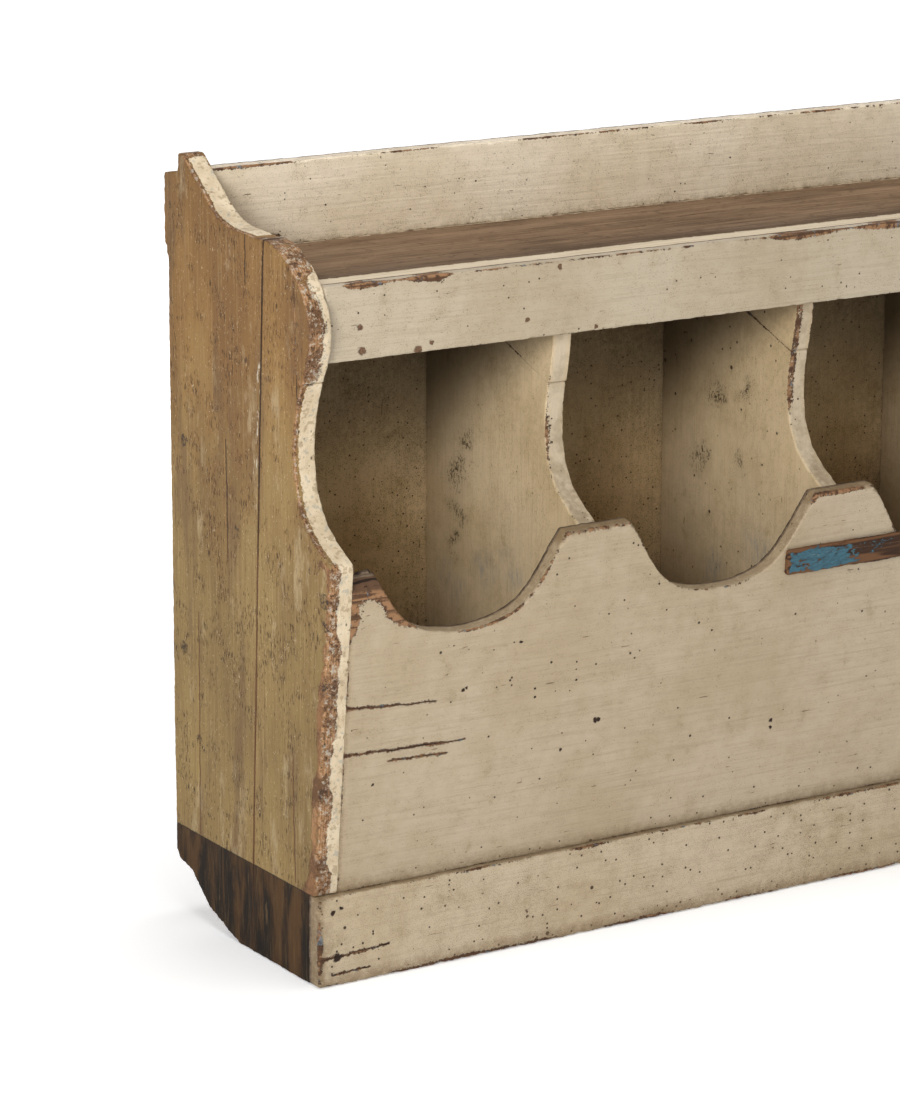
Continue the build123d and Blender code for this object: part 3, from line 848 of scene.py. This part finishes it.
def panel_zones(verts, near, strip, behind):
    x, z = verts[:, 0] - LEFT_FACE, verts[:, 2]
    wave = wobble(verts, 33, 14, 1.0)
    high = smoothstep(PANEL_TOP - 0.125, PANEL_TOP - 0.085, z)
    bump_top = smoothstep(PANEL_TOP - 0.016, PANEL_TOP - 0.003, z)
    wear = rub(near, 6.0) * (0.55 + 0.35 * high) * (0.9 + 1.9 * wave)
    wear = wear + rub(near, 8.0) * 1.9 * bump_top * np.maximum(0.9 + 1.5 * wave, 0.6)
    grime = 0.06 + 0.55 * strip * high + 0.70 * strip * bump_top
    grime = grime + 0.5 * smoothstep(PLINTH_TOP + 0.016, PLINTH_TOP, z)
    grime = grime + 0.5 * smoothstep(0.0285, 0.0265, x) * (1 - strip)
    # broken half bump at the left end, and the flaked arris of the scallop beside it
    torn = smoothstep(0.062, 0.056, x) * smoothstep(PANEL_TOP - 0.034, PANEL_TOP - 0.028, z)
    flaked = smoothstep(0.135, 0.100, x) * smoothstep(PANEL_TOP - 0.085, PANEL_TOP - 0.060, z)
    wear = np.clip(wear, 0, 1.5) + 2.3 * flaked * rub(near, 17)
    return {
        "wear": np.clip(wear + 1.6 * torn * strip, 0, 2.0),
        "grime": np.clip(grime, 0, 1),
        "stain": np.clip(torn * np.maximum(strip, rub(near, 3.0)) * 1.3, 0, 1),
    }


def plinth_zones(verts, near, strip, behind):
    x, z = verts[:, 0] - LEFT_FACE, verts[:, 2]
    wave = wobble(verts, 37, 16, 1.0)
    end = smoothstep(0.030, 0.004, x)
    low = smoothstep(0.016, 0.002, z)
    wear = rub(near, 7) * (0.85 + 0.55 * low) * (0.85 + 1.9 * wave)
    wear = wear + 1.3 * end * rub(near, 10) * (0.8 + 1.2 * wave)
    top = smoothstep(PLINTH_TOP - 0.004, PLINTH_TOP - 0.001, z)
    grime = 0.14 + 0.75 * top * strip + 0.6 * low + 0.75 * smoothstep(0.012, 0.0, x)
    return {"wear": np.clip(wear, 0, 1.3), "grime": np.clip(grime, 0, 1)}


def fascia_zones(verts, near, strip, behind):
    x, z = verts[:, 0] - LEFT_FACE, verts[:, 2]
    wave = wobble(verts, 41, 20, 1.0)
    knocked = smoothstep(0.035, 0.055, x) * smoothstep(0.175, 0.150, x)
    knocked = knocked + smoothstep(0.545, 0.575, x) * smoothstep(0.730, 0.700, x)
    knocked = knocked + 0.8 * smoothstep(1.10, 1.13, x) * smoothstep(1.30, 1.24, x)
    top = smoothstep(SHELF_TOP - 0.010, SHELF_TOP - 0.001, z)
    wear = rub(near, 5.5) * (0.38 + 0.40 * top) * (0.9 + 1.7 * wave)
    wear = wear + 2.8 * knocked * top * rub(near, 13.0) * np.maximum(0.70 + 1.3 * wave, 0.3)
    return {"wear": np.clip(wear, 0, 2.2), "grime": 0.05 + 0.15 * strip}


def backsplash_zones(verts, near, strip, behind):
    x = verts[:, 0] - LEFT_FACE
    wave = wobble(verts, 39, 18, 1.0)
    top = smoothstep(SHELF_TOP + 0.070, SHELF_TOP + 0.080, verts[:, 2])
    left = smoothstep(0.14, 0.05, x)
    wear = rub(near, 5.0) * (0.28 + (0.60 + 0.5 * left) * top) * (0.9 + 1.8 * wave)
    grime = 0.08 + 0.35 * strip + 0.35 * smoothstep(SHELF_TOP + 0.010, SHELF_TOP, verts[:, 2])
    return {"wear": np.clip(wear, 0, 1.1), "grime": grime}


def bin_shade(y, z):
    """Painted shade of the shelf high up and far back inside a bin, its edge slanting down towards the back.
    """
    over = z - (0.640 - (y - 0.08) * 0.75)
    return 0.93 * smoothstep(-0.065, 0.060, over)


def inside_zones(grime_and_shade_by_depth, chipped=False, corner=None):
    """Faces inside the bins: darker near the top and the bottom, from grime and painted shade."""
    def zones(verts, near, strip, behind):
        wave = wobble(verts, 43, 14, 1.0)
        z = verts[:, 2]
        wear = 0.55 * rub(near, 4.5) * (0.8 + 1.9 * wave)
        if chipped:
            left = smoothstep(0.60, 0.15, behind)
            patchy = np.maximum(0.35 + 2.2 * wave, 0.30)
            wear = wear + 1.8 * left * strip * smoothstep(0.47, 0.52, z) * patchy
        # grime mixed with painted shade: stronger on the deeper back boards and high up under the shelf;
        # lower down it is grime
        high = smoothstep(0.40, 0.64, z)
        low = smoothstep(PANEL_TOP - 0.05, PANEL_TOP - 0.09, z)
        grime = grime_and_shade_by_depth * (0.30 + 0.55 * high + 0.25 * low) * (1 - 0.55 * strip)
        grime = grime + 0.50 * strip * smoothstep(0.52, 0.42, z)
        y = verts[:, 1] - FRONT_TIP
        # deep: painted shade of the shelf on the dividers, kept off their edge strip
        deep = bin_shade(y, z) * (1 - strip)
        if corner is not None:
            # on the back boards the painted shade covers the upper part, a little darker towards the
            # right-hand divider, front face only
            deep = 0.84 * smoothstep(0.37, 0.56, z) + 0.10 * smoothstep(0.56, 0.62, z)
            deep = deep + 0.04 * smoothstep(corner - 0.10, corner - 0.01, verts[:, 0])
            deep = deep * (behind < 0.5)
        grime = np.clip(grime + 0.5 * wave * grime_and_shade_by_depth, 0, 1)
        return {"wear": np.clip(wear, 0, 1.2), "grime": grime, "deep": np.clip(deep, 0, 0.97)}
    return zones


def side_joint(z):
    """Depth of the glued joint between the two boards of a side."""
    return 0.154 - (z - PLINTH_TOP) * 0.047


def side_zones(verts, near, strip, behind):
    """Outer face ochre, shaped edge cream with a bare shoulder, inner face cream with painted shade high up
    under the shelf, dark foot.
    """
    y, z = verts[:, 1] - FRONT_TIP, verts[:, 2]
    shaped = strip * smoothstep(0.115, 0.09, y) * smoothstep(PLINTH_TOP - 0.002, PLINTH_TOP + 0.004, z)
    ear = strip * smoothstep(0.135, 0.150, y) * smoothstep(0.722, 0.728, z) * smoothstep(0.2860, 0.2840, y)
    shoulder = strip * smoothstep(0.690, 0.703, z) * smoothstep(0.150, 0.130, y)
    crown = strip * smoothstep(0.783, 0.786, z)
    nose = strip * smoothstep(0.585, 0.605, z) * smoothstep(0.705, 0.690, z) * smoothstep(0.115, 0.09, y)
    low_front = smoothstep(PANEL_TOP + 0.012, PANEL_TOP - 0.008, z) * smoothstep(0.075, 0.055, y)
    scoop = shaped * smoothstep(PANEL_TOP, PANEL_TOP + 0.012, z)
    inner = smoothstep(0.93, 1.0, behind)

    cream = np.maximum(shaped * smoothstep(0.10, 0.40, behind), inner * 0.95)
    cream = np.maximum(cream, ear * smoothstep(0.10, 0.30, behind) * 0.85)
    patches = smoothstep(0.05, 0.30, wobble(verts, 47, 55, 1.0))
    cream = cream * (1 - shoulder * (0.95 - 0.75 * patches * smoothstep(0.3, 0.7, behind)))
    cream = cream * (1 - 0.45 * nose * smoothstep(0.75, 0.25, behind)) * (1 - 0.6 * crown)

    face_side = rub(near, 5.0) * smoothstep(0.5, 0.2, behind)
    bare = 0.30 * face_side * (shaped + ear > 0.01) + 0.25 * face_side
    bare = bare + 0.62 * scoop * smoothstep(0.30, 0.10, behind)
    bare = bare + 0.60 * ear * smoothstep(0.22, 0.06, behind)
    ragged = wobble(verts, 53, 17, 1.2) + wobble(verts, 54, 70, 0.5)
    outside = smoothstep(0.0125, 0.0065, near + 0.006 * ragged) * (1 - strip) * smoothstep(0.5, 0.2, behind)
    rubbed = shaped * smoothstep(0.60, 0.40, behind + 0.28 * ragged)
    bare = np.maximum(bare, low_front * 0.95 * np.maximum(outside, rubbed))
    bare = np.maximum(bare, shoulder * (0.85 - 0.55 * patches * smoothstep(0.3, 0.7, behind)))
    bare = np.maximum(bare, nose * (0.25 + 0.45 * smoothstep(0.95, 0.35, behind)))
    bare = np.maximum(bare, 0.6 * crown)

    stain = 1 - inner
    beside = np.exp(-np.abs(y - side_joint(z) - 0.006) / 0.011)
    smear = beside * smoothstep(0.40, 0.50, z) * smoothstep(0.68, 0.60, z) * (1 - strip) * (1 - inner)
    # deep: painted shade of the shelf on the inner face, below the shelf
    deep = inner * bin_shade(y, z) * (z < SHELF_TOP - 0.01)
    return {"cream": cream, "bare": np.clip(bare, 0, 1), "stain": stain, "grime": smear * 1.5, "deep": deep}


def side_joint_gap(verts):
    z = verts[:, 2]
    return np.abs(verts[:, 1] - FRONT_TIP - side_joint(z)) - 0.0009


def shelf_zones(verts, near, strip, behind):
    y = verts[:, 1] - FRONT_TIP
    lap = smoothstep(0.0925, 0.0875, y)
    back = smoothstep(0.266, 0.269, y)
    top = behind < 0.5
    # deep: painted shade over the whole underside, and a darker band along the front of the top
    front = 0.40 * smoothstep(0.15, 0.09, y) * (1 - lap) * top
    return {"cream": np.maximum(lap, 0.8 * back) * top, "deep": np.where(behind > 0.7, 0.85, front)}


# ---- shapes of particular boards ---------------------------------------------
def break_shape(verts, behind):
    """The broken half bump: the torn face climbs in layers towards the back."""
    x, z = verts[:, 0] - LEFT_FACE, verts[:, 2]
    here = smoothstep(0.063, 0.057, x) * smoothstep(PANEL_TOP - 0.036, PANEL_TOP - 0.029, z)
    splinter = wobble(verts * np.array([0.4, 1, 1]), 51, 160, 1.0)
    layers = np.floor(behind * 4 + 0.9 * splinter) / 4
    lift = here * (np.clip(0.25 * behind + 0.75 * layers, 0, 1) * 0.014 + np.abs(splinter) * 0.0025 * behind)
    verts = verts.copy()
    verts[:, 2] += lift
    return verts


def side_front_radius(world):
    """Outer arris of the side: much rounder down the front and over the shoulder."""
    y, z = world[:, 1] - FRONT_TIP, world[:, 2]
    front = smoothstep(0.115, 0.09, y) * smoothstep(PLINTH_TOP, PLINTH_TOP + 0.02, z)
    low_front = front * smoothstep(PANEL_TOP + 0.02, PANEL_TOP - 0.01, z)
    top = smoothstep(0.70, 0.72, z)
    joint = np.abs(y - side_joint(z)) < 0.0015
    return np.where(joint & (z < 0.70), 0.55, 0.9 + 1.4 * front + 3.4 * low_front + 1.4 * top)


def side_inner_radius(world):
    y, z = world[:, 1] - FRONT_TIP, world[:, 2]
    front = smoothstep(0.115, 0.09, y) * smoothstep(PANEL_TOP, PANEL_TOP + 0.02, z)
    return 0.5 + 1.0 * front + 0.9 * smoothstep(0.70, 0.72, z)


def rotted_foot(world):
    """How ragged the outline is: strong round the eaten rear foot."""
    y, z = world[:, 1] - FRONT_TIP, world[:, 2]
    eaten = smoothstep(0.078, 0.055, z) * smoothstep(0.165, 0.19, y) * (world[:, 0] < 0)
    back = smoothstep(0.300, 0.308, y) * smoothstep(0.60, 0.70, z)
    return (1.2 * eaten + 0.45 * back) * MM


def plinth_radius(world):
    """Arris of the plinth: knocked round at the left end."""
    x, z = world[:, 0] - LEFT_FACE, world[:, 2]
    return 1.8 + 2.6 * smoothstep(0.03, 0.002, x) * smoothstep(0.05, 0.09, z) + 1.2 * smoothstep(0.03, 0.0, z)


def bump_radius(world):
    """Front arris of the leaning panel: tops of the bumps are worn rounder than the scallops."""
    z = world[:, 2]
    high = smoothstep(PANEL_TOP - 0.125, PANEL_TOP - 0.09, z)
    return 0.7 + 1.2 * high + 2.2 * smoothstep(PANEL_TOP - 0.02, PANEL_TOP - 0.004, z)


# ---- nails ---------------------------------------------------------------------
def nail_group(node, material):
    """Hand-cut nails: a low faceted head just below the face, and a tapering shank."""
    sink, sides = 0.1 * MM, 10
    # along the nail and across it, in millimetres
    sections = ((0.0, 0.45), (0.15, 1.6), (0.5, 2.3), (1.1, 2.4), (1.4, 1.25), (20.0, 1.0), (36.0, 0.45))
    source = nodes[node].data
    parent = list(range(len(source.vertices)))

    def find(i):
        while parent[i] != i:
            parent[i] = parent[parent[i]]
            i = parent[i]
        return i

    where = {}
    for v in source.vertices:
        key = weld_key(v.co)
        if key in where:
            parent[find(v.index)] = find(where[key])
        where[key] = v.index
    for e in source.edges:
        parent[find(e.vertices[0])] = find(e.vertices[1])
    groups = {}
    for v in source.vertices:
        groups.setdefault(find(v.index), []).append(v.co)
    verts, faces = [], []
    for number, points in enumerate(sorted(groups.values(), key=lambda g: tuple(g[0]))):
        points = np.array([tuple(c) for c in points])
        head = points[points[:, 1] < points[:, 1].min() + 0.0008].mean(axis=0)
        tip = points[points[:, 1] > points[:, 1].max() - 0.0008].mean(axis=0)
        axis = Vector(tip - head).normalized()
        side = axis.cross(Z_AXIS).normalized()
        up = side.cross(axis)
        base = len(verts)
        for ring, (depth, reach) in enumerate(sections):
            for k in range(sides):
                angle = 2 * math.pi * k / sides + number
                uneven = 1 + 0.12 * noise.noise(Vector((number * 3.7, k * 1.3, ring * 0.9)))
                spoke = (side * math.cos(angle) + up * math.sin(angle)) * reach * MM * uneven
                verts.append(tuple(Vector(head) + axis * (depth * MM + sink) + spoke))
        for ring in range(len(sections) - 1):
            for k in range(sides):
                a, b = base + ring * sides + k, base + ring * sides + (k + 1) % sides
                faces.append((a, b, b + sides, a + sides))
        faces.append(tuple(base + k for k in reversed(range(sides))))
        last = base + (len(sections) - 1) * sides
        faces.append(tuple(last + k for k in range(sides)))
    stand_for(node, node + "_forged", verts, faces, material)


# ---- build everything ---------------------------------------------------------
def seat_marks(seat, *rows):
    """Marks (x, y, z, radius) in metres, from rows of two places on a face and a radius in millimetres."""
    return [(*seat(a * MM, b * MM), r * MM) for a, b, r in rows]


def divider_marks(k, *rows):
    """Marks on the left face of divider k, from rows of depth, height and radius in millimetres."""
    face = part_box(f"divider_{k}")[0][0]
    return seat_marks(lambda y, z: (face, FRONT_TIP + y, z), *rows)


add_camera()

PLINTH_Y, FASCIA_Y = PLINTH[0][1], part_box("fascia_rail")[0][1]
SIDE_MARKS = seat_marks(
    lambda y, z: (LEFT_FACE, FRONT_TIP + y, z),
    (14, 311, 7.0), (15, 253, 7.5), (21, 198, 6.5), (14, 395, 8.5), (13, 370, 6.0), (160, 604, 3.0),
    (60, 655, 3.5), (66, 628, 3.0), (182, 430, 3.5), (178, 424, 3.0), (285, 500, 7.0), (292, 284, 7.5),
    (262, 195, 6.0), (306, 640, 3.0), (308, 735, 3.0),
)
PANEL_MARKS = seat_marks(
    lambda x, z: (x, FRONT_TIP + (PANEL_TOP - z) * PANEL_LEAN, z),
    (-437, 225.5, 2.97), (-433.5, 225.8, 2.43), (-598, 283, 2.025), (-594, 285, 1.62), (-513, 262, 1.755),
    (-513, 271, 1.62), (-697, 200, 1.755), (-464, 273, 1.62), (-533, 323, 1.89), (-547, 364, 1.89),
    (-215, 189, 2.295), (-215, 181, 1.89), (-477, 200, 1.62), (120, 240, 2.43), (410, 205, 2.16),
    (560, 300, 2.43),
)
PLINTH_MARKS = seat_marks(
    lambda x, z: (x, PLINTH_Y, z),
    (-736, 29, 4.8), (-741, 76, 3.0), (-731, 79, 2.4), (-514, 36, 2.0), (-513, 30, 1.6), (-611, 60, 1.4),
    (205, 50, 2.5), (640, 40, 3.0),
)
FASCIA_MARKS = seat_marks(
    lambda x, z: (x, FASCIA_Y, z),
    (-693, 648, 3.4), (-691, 625, 4.4), (-627, 619, 4.6), (-612, 625, 2.4), (-502, 635, 2.8),
    (-464, 684, 3.0), (-420, 620, 2.2), (80, 640, 3.0), (330, 655, 3.0), (520, 628, 2.8),
)
BIN_SMUDGES = [
    *divider_marks(1, (236, 442, 14), (229, 478, 12), (240, 398, 13), (246, 361, 10)),
    *divider_marks(2, (231, 422, 12), (159, 422, 8), (205, 494, 16), (150, 508, 12)),
    *divider_marks(3, (210, 430, 14), (150, 520, 10)),
    *divider_marks(4, (240, 410, 13), (170, 480, 12)),
]
BIN_SCUFFS = [
    *divider_marks(1, (188, 345, 22), (250, 320, 20), (140, 360, 16)),
    *divider_marks(2, (205, 300, 20), (130, 345, 24)),
    *divider_marks(3, (170, 340, 24)),
    *divider_marks(4, (200, 330, 24)),
]

left_paint = side_material("side_paint_left", 0.0, SIDE_MARKS)
right_paint = side_material("side_paint_right", 3.1)
panel_cream = cream_material("cream_panel", "X", (0.75, 0.71, 0.645), 0.4, marks=PANEL_MARKS, raw_back=True)
plinth_cream = cream_material(
    "cream_plinth", "X", (0.86, 0.82, 0.75), 0.9, dirt=1.3, raw_back=True,
    marks=PLINTH_MARKS[:3], rust_marks=PLINTH_MARKS[3:],
)
rail_cream = cream_material(
    "cream_fascia", "X", (0.75, 0.73, 0.69), 1.3, rust_marks=FASCIA_MARKS, raw_back=True
)
# the backsplash cream has a much brighter tint than the other cream boards: painted light for the stronger
# light on the backsplash
splash_cream_painted_light = cream_material("cream_backsplash", "X", (1.34, 1.34, 1.33), 3.6, raw_back=True)
tall_cream = cream_material(
    "cream_tall", "Z", (1.08, 0.97, 0.78), 2.1, dirt=0.2, smudges=BIN_SMUDGES, scuffs=BIN_SCUFFS
)
back_cream = cream_material("cream_back", "Z", (1.50, 1.30, 0.96), 5.2, dirt=1.6, raw_back=True)
shelf_wood = plain_wood_material("shelf_wood", (0.120, 0.069, 0.038), (0.255, 0.165, 0.098), 0.7, worn=True)
raw_pine = plain_wood_material("raw_pine", (0.15, 0.085, 0.045), (0.36, 0.23, 0.13), 4.1)
rust = rust_material()

# each crack runs from one share of the face to another, with its half width and depth in millimetres
SIDE_CRACKS = {
    "rear_board": [
        ((0.30, 0.12), (0.31, 0.42), 0.20, 1.6),
        ((0.62, 0.50), (0.61, 0.66), 0.15, 1.4),
        ((0.82, 0.86), (0.82, 0.98), 0.25, 1.8),
    ],
    "front_board": [((0.55, 0.135), (0.53, 0.32), 0.20, 1.6), ((0.62, 0.72), (0.60, 0.90), 0.20, 1.8)],
    "nose_block": [],
}
for hand, look, paint in (("left", LEFT, left_paint), ("right", RIGHT, right_paint)):
    for part, cracks in SIDE_CRACKS.items():
        board(
            f"side_{hand}_{part}", look, paint, cracks=cracks, zones=side_zones,
            front_r=side_front_radius, back_r=side_inner_radius, ragged=rotted_foot, joint=side_joint_gap,
            uneven=0.5, warp=0.5, relief=0.07, grid=(1.9, 11.0), step=1.6,
        )
ALONG = (1, 0, 0)
board(
    "front_panel", FRONT, panel_cream, ALONG, zones=panel_zones, shape=break_shape,
    front_r=bump_radius, back_r=1.2, step=1.7, uneven=0.5,
    cracks=[
        ((0.001, 0.568), (0.072, 0.545), 0.18, 2.2),
        ((0.001, 0.425), (0.097, 0.410), 0.24, 2.6),
        ((0.036, 0.386), (0.084, 0.378), 0.10, 1.2),
        ((0.60, 0.33), (0.66, 0.325), 0.12, 1.2),
    ],
)
board(
    "plinth_board", FRONT, plinth_cream, ALONG, zones=plinth_zones,
    front_r=plinth_radius, back_r=0.8, uneven=0.7, nicks=1.6, relief=0.10,
    cracks=[((0.002, 0.31), (0.055, 0.36), 0.18, 2.0), ((0.010, 0.13), (0.040, 0.14), 0.35, 2.0)],
)
board(
    "fascia_rail", FRONT, rail_cream, ALONG, zones=fascia_zones,
    front_r=1.6, back_r=0.5, nicks=1.2,
)
board(
    "backsplash_board", FRONT, splash_cream_painted_light, ALONG, zones=backsplash_zones,
    front_r=1.5, back_r=1.5, nicks=1.2, cracks=[((0.024, 0.14), (0.055, 0.12), 0.10, 1.2)],
)
board(
    "shelf_board", TOP, shelf_wood, ALONG, zones=shelf_zones,
    front_r=0.5, back_r=0.8, warp=0.4, relief=0.10,
    cracks=[((0.30, 0.55), (0.42, 0.54), 0.12, 1.4), ((0.62, 0.35), (0.74, 0.36), 0.12, 1.4)],
)
for k in range(1, 5):
    for part, worn in (("divider", 1.6), ("corner_block", 0.7)):
        zones = inside_zones(0.30, chipped=True)
        board(f"{part}_{k}", LEFT, tall_cream, front_r=worn, back_r=worn, zones=zones)
for k in range(1, 6):
    zones = inside_zones(0.60, corner=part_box(f"back_board_{k}")[1][0])
    board(
        f"back_board_{k}", FRONT, back_cream,
        front_r=0.6, back_r=0.6, zones=zones, grid=(2.6, 15.0),
    )
board("floor_board", TOP, raw_pine, ALONG, front_r=0.8, step=3.0, grid=(4.0, 20.0))
for hand in ("left", "right"):
    board(f"floor_cleat_{hand}", TOP, raw_pine, (0, 1, 0), front_r=1.5, back_r=1.5)
board(
    "front_batten", FRONT, blue_material(), ALONG, front_r=1.9, back_r=0.4,
    step=1.0, grid=(1.5, 4.0), uneven=0.9, soften=3, warp=0.2, nicks=1.5,
)
for group in ("front_panel", "fascia", "shelf", "plinth", "batten"):
    nail_group(f"nails_{group}", rust)


# ---- floor, light, world --------------------------------------------------------
def add_floor():
    """Pale floor, which glows further out so that it has no visible end."""
    mesh = bpy.data.meshes.new("floor")
    reach = 14.0
    corners = [(-reach, -reach, 0), (reach, -reach, 0), (reach, reach, 0), (-reach, reach, 0)]
    mesh.from_pydata(corners, [], [(0, 1, 2, 3)])
    floor = add_object("floor", mesh)
    floor.location.z = cad_bounds[0][2] - 0.8 * MM
    p = Paint("pale_floor")
    soft = p.noise(p.stretch((1, 1, 1)), 2.0, 3, 0.5)
    mesh.materials.append(p.finish(p.lay((0.92, 0.92, 0.92), (0.95, 0.95, 0.95), soft, 0.3, 0.7), 0.9))
    away = p.node("VectorMath", {0: p.coords}, "Value", operation="LENGTH")
    p.link(p.step(away, 0.9, 3.2, 0.22, 1.0), p.bsdf.inputs["Emission Strength"])
    p.bsdf.inputs["Emission Color"].default_value = (1, 1, 1, 1)


def add_area(name, place, aim, size, power):
    data = bpy.data.lights.new(name, "AREA")
    data.shape = "RECTANGLE"
    data.size, data.size_y = size
    data.energy = power
    lamp = add_object(name, data)
    lamp.location = place
    lamp.rotation_euler = (Vector(aim) - Vector(place)).to_track_quat("-Z", "Y").to_euler()


add_floor()
add_area("key", (-2.95, -1.95, 1.65), (-0.35, 0, 0.4), (1.3, 1.3), 84)
add_area("front", (0.2, -3.6, 1.5), (-0.2, 0, 0.4), (1.6, 1.6), 5)
add_area("top", (0.0, -0.4, 4.2), (0.0, -0.3, 0.0), (4.0, 4.0), 145)
add_area("behind", (1.4, 3.0, 2.0), (0, 0, 0.4), (2.4, 1.4), 30)

world = bpy.data.worlds.new("studio")
world.use_nodes = True
world.node_tree.nodes["Background"].inputs["Color"].default_value = (1, 1, 1, 1)
world.node_tree.nodes["Background"].inputs["Strength"].default_value = 0.05
bpy.context.scene.world = world
bpy.context.scene.view_settings.view_transform = "Standard"
